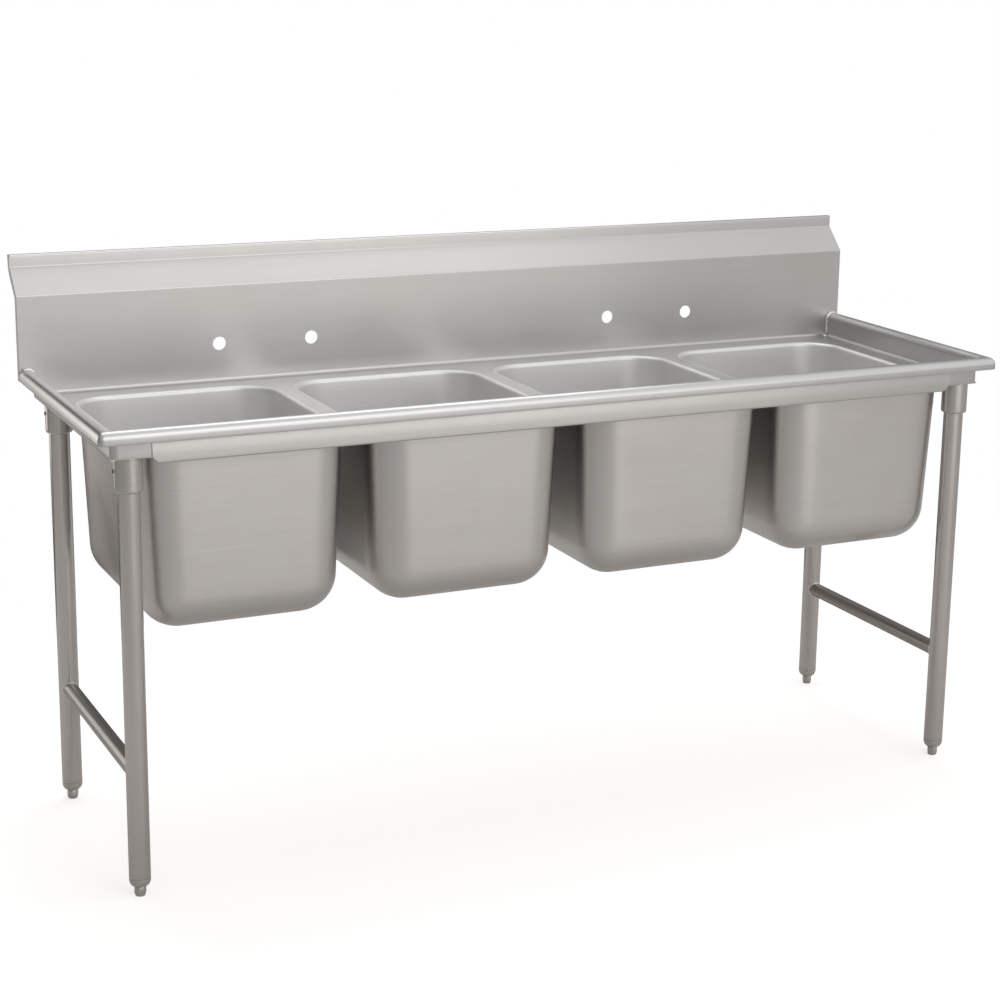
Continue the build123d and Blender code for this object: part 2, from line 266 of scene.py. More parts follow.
# ---- Materials ------------------------------------------------------
class Nodes:
    """Short calls for building a node material."""

    def __init__(self, name):
        self.material = bpy.data.materials.new(name)
        self.material.use_nodes = True
        self.tree = self.material.node_tree
        self.shader = next(n for n in self.tree.nodes if n.type == "BSDF_PRINCIPLED")

    def add(self, kind, **values):
        """A new node with its properties set."""
        node = self.tree.nodes.new(kind)
        for key, value in values.items():
            setattr(node, key, value)
        return node

    def link(self, source, target):
        self.tree.links.new(source, target)

    def noise(self, scale_vector, detail=3.0, roughness=0.6, coordinates=None):
        """Noise over object coordinates stretched by a scale per axis."""
        if coordinates is None:
            coordinates = self.add("ShaderNodeTexCoord").outputs["Object"]
        mapping = self.add("ShaderNodeMapping")
        mapping.inputs["Scale"].default_value = scale_vector
        self.link(coordinates, mapping.inputs["Vector"])
        noise = self.add("ShaderNodeTexNoise")
        noise.inputs["Scale"].default_value = 1.0
        noise.inputs["Detail"].default_value = detail
        noise.inputs["Roughness"].default_value = roughness
        self.link(mapping.outputs["Vector"], noise.inputs["Vector"])
        return noise.outputs["Fac"]

    def spread(self, value, low, high, from_low=0.3, from_high=0.7):
        """A value mapped from one range to another."""
        node = self.add("ShaderNodeMapRange")
        node.inputs["From Min"].default_value = from_low
        node.inputs["From Max"].default_value = from_high
        node.inputs["To Min"].default_value = low
        node.inputs["To Max"].default_value = high
        self.link(value, node.inputs["Value"])
        return node.outputs["Result"]

    def maths(self, operation, a, b):
        """A sum of two sockets or numbers."""
        node = self.add("ShaderNodeMath", operation=operation)
        for socket, value in zip(node.inputs, (a, b)):
            if isinstance(value, (int, float)):
                socket.default_value = value
            else:
                self.link(value, socket)
        return node.outputs["Value"]

    def mix_value(self, factor, a, b):
        node = self.add("ShaderNodeMix", data_type="FLOAT")
        self.link(factor, node.inputs["Factor"])
        self.link(a, node.inputs["A"])
        self.link(b, node.inputs["B"])
        return node.outputs["Result"]

    def mix_colour(self, factor, a, b):
        node = self.add("ShaderNodeMix", data_type="RGBA")
        self.link(factor, node.inputs["Factor"])
        for name, value in (("A", a), ("B", b)):
            socket = [s for s in node.inputs if s.name == name and s.type == "RGBA"][0]
            if isinstance(value, tuple):
                socket.default_value = value
            else:
                self.link(value, socket)
        return [s for s in node.outputs if s.type == "RGBA"][0]

    def bump(self, height, strength, distance, normal=None):
        node = self.add("ShaderNodeBump")
        node.inputs["Strength"].default_value = strength
        node.inputs["Distance"].default_value = distance
        self.link(height, node.inputs["Height"])
        if normal is not None:
            self.link(normal, node.inputs["Normal"])
        return node.outputs["Normal"]


def metal(
    name, dark, light, roughness, grain, anisotropy=0.55, tangent=None, wave=0.25, stain=None, scratch=0.04,
    metallic=1.0,
):
    """Brushed steel.

    roughness is a (low, high) pair. grain is one scale vector, or two: one for upright faces and one for level
    ones. tangent is the grain's direction, and without one it runs level round every face. wave is the depth of
    the slow buckles of thin sheet, stain the colour of faint clouds, and scratch the depth of the grain.
    """
    n = Nodes(name)
    n.shader.inputs["Metallic"].default_value = metallic
    n.shader.inputs["Anisotropic"].default_value = anisotropy
    n.shader.inputs["Anisotropic Rotation"].default_value = 0.25
    geometry = n.add("ShaderNodeNewGeometry")
    if isinstance(grain[0], tuple):
        separate = n.add("ShaderNodeSeparateXYZ")
        n.link(geometry.outputs["Normal"], separate.inputs["Vector"])
        level = n.spread(n.maths("ABSOLUTE", separate.outputs["Z"], 0.0), 0.0, 1.0, 0.45, 0.85)
        fine = n.mix_value(level, n.noise(grain[0]), n.noise(grain[1]))
    else:
        fine = n.noise(grain)
    cloud = n.noise((4.0, 4.0, 4.0), detail=2.0)
    patch = n.noise((14.0, 14.0, 14.0), detail=3.0)
    colour = n.mix_colour(n.spread(fine, 0.0, 1.0, 0.2, 0.8), dark, light)
    if stain:
        colour = n.mix_colour(n.spread(cloud, 0.0, 0.55, 0.42, 0.75), colour, stain)
    n.link(colour, n.shader.inputs["Base Color"])
    low, high = roughness
    rough = n.maths("ADD", n.spread(fine, low, high), n.spread(patch, -0.02, 0.02))
    n.link(rough, n.shader.inputs["Roughness"])
    wavy = n.bump(n.noise((2.6, 2.6, 4.2), detail=1.0), wave, 0.01)
    n.link(n.bump(fine, scratch, 0.0003, wavy), n.shader.inputs["Normal"])
    if tangent is None:
        cross = n.add("ShaderNodeVectorMath", operation="CROSS_PRODUCT")
        n.link(geometry.outputs["Normal"], cross.inputs[0])
        cross.inputs[1].default_value = (0.0, 0.02, 1.0)
        n.link(cross.outputs["Vector"], n.shader.inputs["Tangent"])
    else:
        direction = n.add("ShaderNodeCombineXYZ")
        for socket, value in zip(direction.inputs, tangent):
            socket.default_value = value
        n.link(direction.outputs["Vector"], n.shader.inputs["Tangent"])
    return n.material


def plain(name, dark, light, roughness, metallic=0.0, scale=60.0, depth=0.0003):
    """Rubber, fibre or cast metal: mottled colour, uneven gloss and a fine surface."""
    n = Nodes(name)
    n.shader.inputs["Metallic"].default_value = metallic
    mottle = n.noise((scale, scale, scale), detail=5.0)
    n.link(n.mix_colour(n.spread(mottle, 0.0, 1.0), dark, light), n.shader.inputs["Base Color"])
    n.link(n.spread(mottle, roughness[0], roughness[1]), n.shader.inputs["Roughness"])
    speckle = n.noise((scale * 14, scale * 14, scale * 14), detail=2.0)
    n.link(n.bump(speckle, 0.35, depth), n.shader.inputs["Normal"])
    return n.material


ALONG_X = ((5.0, 5.0, 700.0), (5.0, 700.0, 5.0))
sheet_steel = metal(
    "brushed_sheet", (0.605, 0.595, 0.58, 1), (0.655, 0.65, 0.64, 1), (0.32, 0.38), ALONG_X,
    stain=(0.61, 0.595, 0.575, 1), wave=0.12,
)
bowl_steel = metal(
    "brushed_bowl", (0.675, 0.655, 0.64, 1), (0.735, 0.72, 0.71, 1), (0.30, 0.37), ALONG_X, anisotropy=0.5,
    stain=(0.685, 0.655, 0.635, 1),
)
# Inside of the bowls: the same steel painted brighter and made less metallic, painted light that brightens the inner
# walls.
painted_bright_bowl_inside_steel = metal(
    "brushed_bowl_inside_painted_bright", (0.82, 0.815, 0.81, 1), (0.88, 0.875, 0.87, 1), (0.40, 0.48), ALONG_X, anisotropy=0.3,
    metallic=0.78,
)
rim_steel = metal(
    "polished_rim", (0.64, 0.635, 0.63, 1), (0.68, 0.68, 0.675, 1), (0.30, 0.34), (5.0, 5.0, 900.0),
    anisotropy=0.2, wave=0.03, scratch=0.005,
)
leg_steel = metal(
    "brushed_leg", (0.61, 0.585, 0.565, 1), (0.69, 0.67, 0.655, 1), (0.20, 0.26), (300.0, 300.0, 3.0),
    anisotropy=0.5, stain=(0.63, 0.59, 0.56, 1), wave=0.1, scratch=0.02,
)
# The rails: the legs' steel painted much darker, a painted shade for the rails low under the sink.
painted_shade_rail_steel = metal(
    "brushed_rail_painted_shade", (0.35, 0.33, 0.31, 1), (0.42, 0.40, 0.38, 1), (0.30, 0.36), (300.0, 3.0, 300.0),
    anisotropy=0.4, tangent=(0, 1, 0), stain=(0.37, 0.34, 0.32, 1), wave=0.1, scratch=0.02,
)
turned_steel = metal(
    "turned_steel", (0.58, 0.56, 0.54, 1), (0.63, 0.615, 0.60, 1), (0.28, 0.34), (4.0, 4.0, 500.0), wave=0.03,
    scratch=0.01,
)
weld_steel = metal(
    "weld_bead", (0.72, 0.70, 0.67, 1), (0.86, 0.85, 0.83, 1), (0.22, 0.34), (300.0, 300.0, 300.0), anisotropy=0.0,
    wave=0.1,
)
drain_steel = metal(
    "polished_drain", (0.70, 0.69, 0.68, 1), (0.80, 0.80, 0.79, 1), (0.10, 0.18), (120.0, 120.0, 600.0),
    anisotropy=0.3, wave=0.05,
)
screw_steel = metal(
    "screw_steel", (0.16, 0.155, 0.15, 1), (0.30, 0.29, 0.28, 1), (0.28, 0.42), (300.0, 300.0, 300.0),
    anisotropy=0.0, wave=0.0,
)
gasket_rubber = plain("gasket_rubber", (0.012, 0.012, 0.013, 1), (0.035, 0.035, 0.036, 1), (0.55, 0.75))
washer_fibre = plain("washer_fibre", (0.20, 0.075, 0.035, 1), (0.32, 0.14, 0.07, 1), (0.70, 0.90))
cast_metal = plain("cast_locknut", (0.48, 0.48, 0.47, 1), (0.60, 0.60, 0.585, 1), (0.35, 0.55), metallic=1.0)


# ---- Rim ------------------------------------------------------------
def rim_section():
    """The rim's closed section as (distance in from the outer face, height) points."""
    inner = WALL_INSIDE
    skin = inner - SHEET
    hem, roll_drop, lower_bend = 0.0011, 0.005, 0.0025
    points = arc(inner + COVE, DECK_TOP + COVE, COVE, -90, -180, 8)
    points += [(inner, DECK_TOP + t * (ROLL_Z - DECK_TOP)) for t in (0.45, 0.75)]
    points += arc(ROLL_RADIUS, ROLL_Z, ROLL_RADIUS, 0, 180, 28)
    points += [(0.0, ROLL_Z - roll_drop)]
    points += arc(hem, RIM_BOTTOM + hem, hem, 180, 360, 6)
    points += [(SHEET, ROLL_Z)]
    points += arc(ROLL_RADIUS, ROLL_Z, ROLL_RADIUS - SHEET, 180, 0, 20)[1:]
    points += [(skin, STRIP_BOTTOM + 4 * lower_bend)]
    points += arc(skin + lower_bend, STRIP_BOTTOM + lower_bend, lower_bend, 180, 270, 6)
    points += [(inner + COVE, STRIP_BOTTOM)]
    return points


def rim_corner_radius(distance):
    """The rim's corners are tight on the roll and rounder where the wall meets the deck."""
    outside, crest, inside = 0.011, 0.004, 0.016
    t = distance / ROLL_RADIUS
    if t <= 1:
        return outside + (crest - outside) * t
    return crest + (inside - crest) * (t - 1)


def rim_path(distance, height):
    """One line of the rim, from the splash round the front to the splash again."""
    side_points, corner_steps, half_front = 14, 10, 20
    x, y, r = HALF_LENGTH - distance, FRONT + distance, rim_corner_radius(distance)
    left = [(-x, t) for t in np.linspace(SPLASH_Y, y + r, side_points)]
    corner = arc(-x + r, y + r, r, 180, 270, corner_steps)[1:-1]
    front = [(t, y) for t in np.linspace(-x + r, x - r, 2 * half_front)]
    half = left + corner + front[:half_front]
    return [(px, py, height) for px, py in half] + [(-px, py, height) for px, py in half[::-1]]


def make_rim():
    """The rolled rim, one continuous piece with its corners ground smooth."""
    b = Builder()
    section = rim_section()
    b.grid([rim_path(d, z) for d, z in section], close_rows=True)
    b.made("rolled_rim", rim_steel, replaces=("front_rim", "left_rim", "right_rim"))
    make_rim_welds(section)


def make_rim_welds(section):
    """Beads over the ends of the rim where it meets the splash, and a dab in each corner of the deck."""
    weld_radius, weld_step, stand_off, inset = 0.0040, 0.0012, 0.0026, 0.0010
    first = 6                               # the bead starts part of the way up the cove
    last = next(i for i, (d, z) in enumerate(section) if z > ROLL_Z and d < 0.0045)
    dab = [(0.0001, DECK_TOP + 0.0045), (0.004, DECK_TOP + 0.004), (0.0075, DECK_TOP)]
    dab_inset = 0.005
    welds = Builder()
    for side in (-1, 1):
        path = [(side * (HALF_LENGTH - d - inset), SPLASH_Y - stand_off, z) for d, z in section[first:last]]
        bead(welds, resample(path, weld_step), weld_radius, ripple=0.05)
        lathe(welds, dab, (side * (PAN_HALF - dab_inset), SPLASH_Y - dab_inset), 20)
    welds.made("rim_welds", weld_steel)


# ---- Deck and bowls -------------------------------------------------
def rounded_loop(half_x, half_y, radius):
    """A rounded rectangle about the origin with a fixed number of points."""
    arc_steps, side_points = 14, 10
    ix, iy = half_x - radius, half_y - radius
    corners = ((ix, iy, 0), (-ix, iy, 90), (-ix, -iy, 180), (ix, -iy, 270))
    arcs = [arc(cx, cy, radius, start, start + 90, arc_steps) for cx, cy, start in corners]
    points = []
    for here, following in zip(arcs, arcs[1:] + arcs[:1]):
        (x0, y0), (x1, y1) = here[-1], following[0]
        points += here
        points += [(x0 + t * (x1 - x0), y0 + t * (y1 - y0)) for t in np.linspace(0, 1, side_points + 2)[1:-1]]
    return points


def edge_centre():
    """Where the rounding between deck and bowl wall has its centre: (offset from the wall, height)."""
    d = BOWL_DRAFT
    return BOWL_EDGE * math.cos(d) - BOWL_EDGE * (1 - math.sin(d)) * math.tan(d), DECK_TOP - BOWL_EDGE


def bowl_section(thickness):
    """The bowl's section from the deck to the floor as (offset from the opening, height, corner radius)."""
    d = BOWL_DRAFT
    edge_points, wall_points, fillet_points = 9, 10, 15
    cx, cz = edge_centre()
    r = BOWL_EDGE - thickness
    edge = [(cx + r * math.cos(a), cz + r * math.sin(a)) for a in np.linspace(math.pi / 2, math.pi - d, edge_points)]
    fillet_z = BOWL_FLOOR + BOWL_FLOOR_RADIUS
    foot_z = fillet_z - BOWL_FLOOR_RADIUS * math.sin(d)
    foot_offset = -(DECK_TOP - foot_z) * math.tan(d)
    fillet_offset = foot_offset - BOWL_FLOOR_RADIUS * math.cos(d)
    big = BOWL_FLOOR_RADIUS + thickness
    fillet = [
        (fillet_offset + big * math.cos(a), fillet_z + big * math.sin(a))
        for a in np.linspace(-d, -math.pi / 2, fillet_points)
    ]
    start, end = np.array(edge[-1]), np.array(fillet[0])
    wall = [tuple(start * (1 - t) + end * t) for t in np.linspace(0, 1, wall_points + 2)[1:-1]]
    made = []
    for offset, z in edge + wall + fillet:
        loss = BOWL_CORNER_LOSS * min(1.0, (DECK_TOP - z) / (DECK_TOP - BOWL_FLOOR))
        wall_offset = -(DECK_TOP - z) * math.tan(d) if z > foot_z else foot_offset
        made.append((offset, z, BOWL_CORNER - loss + (offset - wall_offset)))
    return made


def bowl_rows(number, thickness):
    """Loops of points from the deck down the wall and over the floor to the drain hole."""
    floor_rings = 12
    centre, drain = middle(f"bowl_{number}"), middle(f"drain_body_{number}")
    rows = []
    for offset, z, corner in bowl_section(thickness):
        loop = rounded_loop(BOWL_HALF_X + offset, BOWL_HALF_Y + offset, corner)
        rows.append([(centre.x + x, centre.y + y, z) for x, y in loop])
    floor = np.array(rows[-1])
    angles = np.arctan2((floor[:, 1] - centre.y) / BOWL_HALF_Y, (floor[:, 0] - centre.x) / BOWL_HALF_X)
    circle = np.stack(
        [drain.x + DRAIN_OPENING * np.cos(angles), drain.y + DRAIN_OPENING * np.sin(angles), floor[:, 2]], 1
    )
    for t in np.linspace(0, 1, floor_rings + 1)[1:]:
        rows.append([tuple(p) for p in floor * (1 - t) + circle * t])
    return rows


def make_bowl(number):
    """A bowl with a rounded edge into the deck and a wide radius all round its floor."""
    b = Builder()
    inner, outer = bowl_rows(number, 0.0), bowl_rows(number, SHEET)
    for rows in (inner, outer, [inner[0], outer[0]], [inner[-1], outer[-1]]):
        b.grid(rows, close_cols=True)
    shell = b.made(f"bowl_shell_{number}", bowl_steel, replaces=(f"bowl_{number}",))
    # Faces looking into the bowl get the copy of the steel painted brighter, painted light on the inner walls.
    shell.data.materials.append(painted_bright_bowl_inside_steel)
    centre = middle(f"bowl_{number}")
    heart = Vector((centre.x, centre.y, DECK_TOP))
    for face in shell.data.polygons:
        if face.normal.dot(heart - face.center) > 0:
            face.material_index = 1


def make_deck():
    """The flat deck around the bowls, up to the start of every rounding."""
    b = Builder()
    outline = [(x, min(y, SPLASH_Y - COVE)) for x, y, _ in rim_path(WALL_INSIDE + COVE, DECK_TOP)]
    offset = edge_centre()[0]
    holes = []
    for number in BOWLS:
        centre = middle(f"bowl_{number}")
        loop = rounded_loop(BOWL_HALF_X + offset, BOWL_HALF_Y + offset, BOWL_CORNER + offset)
        holes.append([(centre.x + x, centre.y + y) for x, y in loop][::-1])
    for z, flip in ((DECK_TOP, False), (DECK_UNDER, True)):
        b.panel([outline] + holes, lambda p, z=z: (p[0], p[1], z), flip)
    for loop in [outline] + holes:
        b.grid([[(x, y, DECK_TOP) for x, y in loop], [(x, y, DECK_UNDER) for x, y in loop]], close_cols=True)
    sharpen(b.made("deck_plate", sheet_steel, replaces=("deck",)))


# ---- Splash ---------------------------------------------------------
def bend(corner, before, after, radius, steps=7):
    """Rounds a corner of a (y, z) outline with an arc."""
    c, a, b = (Vector((*p, 0)) for p in (corner, before, after))
    u, v = (a - c).normalized(), (b - c).normalized()
    half = u.angle(v) / 2
    length = radius / math.tan(half)
    centre = c + (u + v).normalized() * (radius / math.sin(half))
    start, end = c + u * length - centre, c + v * length - centre
    sweep = start.angle(end)
    axis = start.cross(end).normalized()
    made = []
    for t in np.linspace(0, 1, steps + 1):
        p = centre + Matrix.Rotation(sweep * t, 3, axis) @ start
        made.append((p.x, p.y))
    return made


def splash_line(offset, bottom, top, radius=0.005):
    """The splash's line, moved back square to the sheet, with rounded bends."""
    half_slope = math.radians(22.5)
    tightest = 0.001
    miss = offset * math.tan(half_slope)
    knee = (SPLASH_Y + offset, SPLASH_KNEE - miss)
    crest = (SPLASH_Y + SPLASH_SETBACK + offset, SPLASH_KNEE + SPLASH_SETBACK - miss)
    start, end = (SPLASH_Y + offset, bottom), (SPLASH_Y + SPLASH_SETBACK + offset, top)
    lower = bend(knee, start, crest, max(radius - offset, tightest))
    upper = bend(crest, knee, end, radius + offset)
    return [start] + lower + upper + [end]


def faucet_holes():
    """The (x, z) outlines of the two pairs of faucet holes, each pair over a divider."""
    holes = []
    for number in (1, 3):
        divider = (middle(f"bowl_{number}").x + middle(f"bowl_{number + 1}").x) / 2
        for side in (-1, 1):
            holes.append(arc(divider + side * FAUCET_HALF, FAUCET_Z, FAUCET_HOLE, 360, 0, 40)[:-1])
    return holes


def make_splash():
    """The splash: a cove up from the deck, the tall face with its holes, the slope, the lip and the return."""
    b = Builder()
    line = splash_line(0.0, RIM_BOTTOM, SPLASH_TOP)
    back = splash_line(SHEET, RIM_BOTTOM, SPLASH_TOP)
    wide, pan = HALF_LENGTH, PAN_HALF + SHEET
    foot, knee_z = DECK_TOP + COVE, line[1][1]
    outline = [(-wide, RIM_BOTTOM), (-pan, RIM_BOTTOM), (-pan, foot), (pan, foot), (pan, RIM_BOTTOM)]
    outline += [(wide, RIM_BOTTOM), (wide, knee_z), (-wide, knee_z)]
    holes = faucet_holes()
    front_y, back_y = SPLASH_Y, SPLASH_Y + SHEET
    b.panel([outline] + holes, lambda p: (p[0], front_y, p[1]))
    b.panel([outline] + holes, lambda p: (p[0], back_y, p[1]), flip=True)
    for hole in holes:
        b.grid([[(x, y, z) for x, z in hole] for y in (front_y, back_y)], close_cols=True)
    rounded, top_radius, hem_radius = 0.0012, 0.004, 0.003
    lip_y, back_lip_y, inside_y, inside_z = line[-1][0], back[-1][0], WALL_PLANE - SHEET, SPLASH_TOP - SHEET
    return_end = SPLASH_TOP - SPLASH_RETURN
    top_edge = bend((lip_y, SPLASH_TOP), line[-2], (WALL_PLANE, SPLASH_TOP), top_radius, 6)
    hem_edge = bend((WALL_PLANE, SPLASH_TOP), (lip_y, SPLASH_TOP), (WALL_PLANE, 0.0), hem_radius, 6)
    outside = line[1:-1] + top_edge + hem_edge + [(WALL_PLANE, return_end)]
    inside = [(inside_y, return_end), (inside_y, inside_z - rounded), (inside_y - rounded, inside_z)]
    inside += [(back_lip_y + rounded, inside_z), (back_lip_y, inside_z - rounded)] + back[1:-1][::-1]
    b.grid([[(x, y, z) for x in along(wide)] for y, z in outside + inside])
    for x in (-wide, wide):
        b.cap([(x, y, z) for y, z in outside + inside] + [(x, back_y, RIM_BOTTOM), (x, front_y, RIM_BOTTOM)])
    cove = arc(SPLASH_Y - COVE, foot, COVE, 270, 360, 8)
    cove += arc(SPLASH_Y - COVE, foot, COVE + SHEET, 360, 270, 8)
    b.grid([[(x, y, z) for x in along(pan)] for y, z in cove], close_rows=True)
    for x in (-pan, pan):
        b.cap([(x, y, z) for y, z in cove])
    sharpen(b.made("splash_sheet", sheet_steel, replaces=("backsplash",)), 40)


def make_splash_return(side):
    """The flange that closes the end of the splash."""
    below_lip, set_back = 0.0005, 0.0004    # its outer edge is dressed back from the splash's face
    front = splash_line(0.0, RIM_BOTTOM, SPLASH_TOP - below_lip)
    rear = splash_line(SPLASH_RETURN, RIM_BOTTOM, SPLASH_TOP - below_lip, 0.006)
    outer_x, inner_x = side * HALF_LENGTH, side * (HALF_LENGTH - SHEET)
    near0, far0 = [(outer_x, y + set_back, z) for y, z in front], [(outer_x, y, z) for y, z in rear]
    near1, far1 = [(inner_x, y, z) for y, z in front], [(inner_x, y, z) for y, z in rear]
    b = Builder()
    for rows in ([near0, far0], [near1, far1], [near0, near1], [far0, far1]):
        b.grid(rows)
    for end in (0, -1):
        b.cap([near0[end], near1[end], far1[end], far0[end]])
    name = side_name(side)
    sharpen(b.made(f"{name}_end_flange", sheet_steel, replaces=(f"{name}_splash_return",)))


# ---- Apron ----------------------------------------------------------
def make_apron():
    """The apron: a face just proud of the pan, a return along its lower edge and corners cut at 45 degrees."""
    low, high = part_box("front_apron")
    half_bottom, lower_bend = 0.860, 0.0035
    front = low.y - 0.001
    return_end, rise = front + 0.014, 0.010  # how far the return reaches back, and where the bend has ended
    section = [(front + 0.0025, high.z), (front + 0.0002, high.z - 0.006), (front, DECK_UNDER)]
    section += [(front, low.z + rise)]
    section += bend((front, low.z), section[-1], (front + 0.02, low.z), lower_bend)
    section += [(return_end, low.z), (return_end, low.z + 0.0015)]
    section += [(front + 0.0045, low.z + 0.0018), (front + 0.0018, low.z + 0.0045)]
    section += [(front + SHEET, low.z + rise), (front + SHEET, DECK_UNDER), (front + 0.0035, high.z)]
    rows = [[(x, y, z) for x in along(half_bottom + min(z, DECK_UNDER) - low.z)] for y, z in section]
    b = Builder()
    b.grid(rows, close_rows=True)
    for column in (0, -1):
        b.cap([row[column] for row in rows], flip=column == -1)
    sharpen(b.made("apron_sheet", sheet_steel, replaces=("front_apron",)), 40)


# ---- Legs -----------------------------------------------------------
def make_leg(corner):
    """A leg tube with a softened lower end and an open bore."""
    centre, low, high = measured(f"leg_{corner}")
    radius = (high.x - low.x) / 2
    soft, bore, mouth = 0.0008, radius - 0.00165, low.z + 0.0003
    profile = [(radius - 2 * soft, mouth)] + arc(radius - soft, low.z + soft, soft, 270, 360, 4)
    profile += [(radius, z) for z in np.linspace(low.z + 0.01, high.z, 12)]
    profile += [(bore, high.z), (bore, mouth)]
    b = Builder()
    lathe(b, profile, (centre.x, centre.y))
    sharpen(b.made(f"leg_tube_{corner}", leg_steel, slot="tube_steel", replaces=(f"leg_{corner}",)))


def make_socket(corner):
    """A leg socket: a turned sleeve with a rounded mouth, a shadow gap round the leg and a weld at its top."""
    centre, low, high = measured(f"leg_socket_{corner}")
    radius, bore, chamfer, mouth = (high.x - low.x) / 2, 0.02095, 0.0012, 0.0045
    profile = [(bore, high.z), (bore, low.z + chamfer), (bore + chamfer, low.z)]
    profile += arc(radius - mouth, low.z + mouth, mouth, 270, 360, 7)
    profile += [(radius, z) for z in np.linspace(low.z + 0.008, high.z, 8)]
    b = Builder()
    lathe(b, profile, (centre.x, centre.y))
    name = f"socket_sleeve_{corner}"
    sharpen(b.made(name, turned_steel, slot="socket_steel", replaces=(f"leg_socket_{corner}",)))
    raised, ring_steps = 0.0005, 150
    reach = radius + raised
    ring = [
        (centre.x + reach * math.cos(a), centre.y + reach * math.sin(a), high.z + raised) for a in turn(ring_steps)
    ]
    weld = Builder()
    bead(weld, ring, 0.0013, closed=True, ripple=0.10, pitch=0.0034)
    weld.made(f"socket_weld_{corner}", turned_steel, slot="socket_steel")


def make_set_screws():
    """The hexagon-socket set screws, on the outer side of each leg socket."""
    low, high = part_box("set_screws")
    screw_z, radius, reach, edge = (low.z + high.z) / 2, 0.00395, 0.006, 0.0005
    key_flat, key_depth = 0.0020, 0.0022
    angles = turn(24)

    def disc(size):
        return [(size * math.cos(a), size * math.sin(a)) for a in angles]

    keyway = []
    for a in angles:
        reach_here = key_flat / max(abs(math.cos(a - k * math.pi / 3)) for k in range(6))
        keyway.append((reach_here * math.cos(a), reach_here * math.sin(a)))
    shapes = (
        (disc(radius), reach), (disc(radius), edge), (disc(radius - 0.0006), 0.0), (keyway, 0.0), (keyway, key_depth),
    )
    b = Builder()
    for corner in CORNERS:
        centre = middle(f"leg_socket_{corner}")
        side, tip = (1, high.x) if centre.x > 0 else (-1, low.x)
        rows = [[(tip - side * depth, centre.y + u, screw_z + v) for u, v in shape] for shape, depth in shapes]
        b.grid(rows, close_cols=True)
        b.cap(rows[0])
        b.cap(rows[-1])
    sharpen(b.made("hex_set_screws", screw_steel, slot="screw_steel", replaces=("set_screws",)))


def make_rail(side):
    """A cross rail, coped to both legs, with a weld bead round each joint."""
    name = side_name(side)
    centre, low, high = measured(f"{name}_cross_rail")
    front, leg_low, leg_high = measured(f"leg_front_{name}")
    rear = middle(f"leg_rear_{name}")
    radius, leg_radius = (high.x - low.x) / 2, (leg_high.x - leg_low.x) / 2
    sunk, proud = 0.0006, 0.0004            # how far the tube goes into a leg and the weld stands out of it

    def saddle(y, direction, leg):
        points = []
        for a in turn(64):
            across = radius * math.cos(a)
            depth = math.sqrt(leg**2 - across**2)
            points.append((centre.x + across, y + direction * depth, centre.z + radius * math.sin(a)))
        return points

    start, end = saddle(front.y, 1, leg_radius - sunk), saddle(rear.y, -1, leg_radius - sunk)
    rows = [[tuple(Vector(p).lerp(Vector(q), t)) for p, q in zip(start, end)] for t in np.linspace(0, 1, 16)]
    b = Builder()
    b.grid(rows, close_cols=True)
    # The rail tube takes the darker painted-shade copy of the steel.
    b.made(f"{name}_rail_tube", painted_shade_rail_steel, slot="tube_steel", replaces=(f"{name}_cross_rail",))
    weld = Builder()
    for y, direction in ((front.y, 1), (rear.y, -1)):
        loop = saddle(y, direction, leg_radius + proud)
        bead(weld, resample(loop + loop[:1], 0.0011)[:-1], 0.0021, closed=True, ripple=0.12, pitch=0.0032)
    weld.made(f"{name}_rail_welds", weld_steel, slot="tube_steel")


# ---- Feet -----------------------------------------------------------
STUD_RADIUS = 0.00630
THREAD_PITCH = 0.0018
THREAD_DEPTH = 0.00085


def make_foot_insert(corner):
    """The insert at the end of a leg: a collar, a rounded nose and the mouth of its threaded bore."""
    centre, low, high = measured(f"foot_insert_{corner}")
    bottom = low.z
    bore, chamfer = STUD_RADIUS + 0.00006, 0.0012
    nose, nose_edge, nose_height = 0.0115, 0.0016, 0.0142
    collar, collar_top, neck = (high.x - low.x) / 2, bottom + 0.0185, 0.0017
    profile = [(bore, high.z - 0.001), (bore, bottom + chamfer), (bore + 0.0011, bottom), (nose - 0.001, bottom)]
    profile += arc(nose - 0.001, bottom + nose_edge, nose_edge, 270, 315, 4)[1:]
    for t in np.linspace(0.12, math.pi / 2, 16):
        profile.append((nose + 0.00915 * math.sin(t), bottom + chamfer + nose_height * (1 - math.cos(t))))
    profile += [(collar, collar_top - 0.0005), (collar - 0.0006, collar_top)]
    profile += [(collar - neck, collar_top), (collar - neck, high.z)]
    b = Builder()
    lathe(b, profile, (centre.x, centre.y))
    name = f"insert_nose_{corner}"
    sharpen(b.made(name, turned_steel, slot="foot_steel", replaces=(f"foot_insert_{corner}",)), 40)


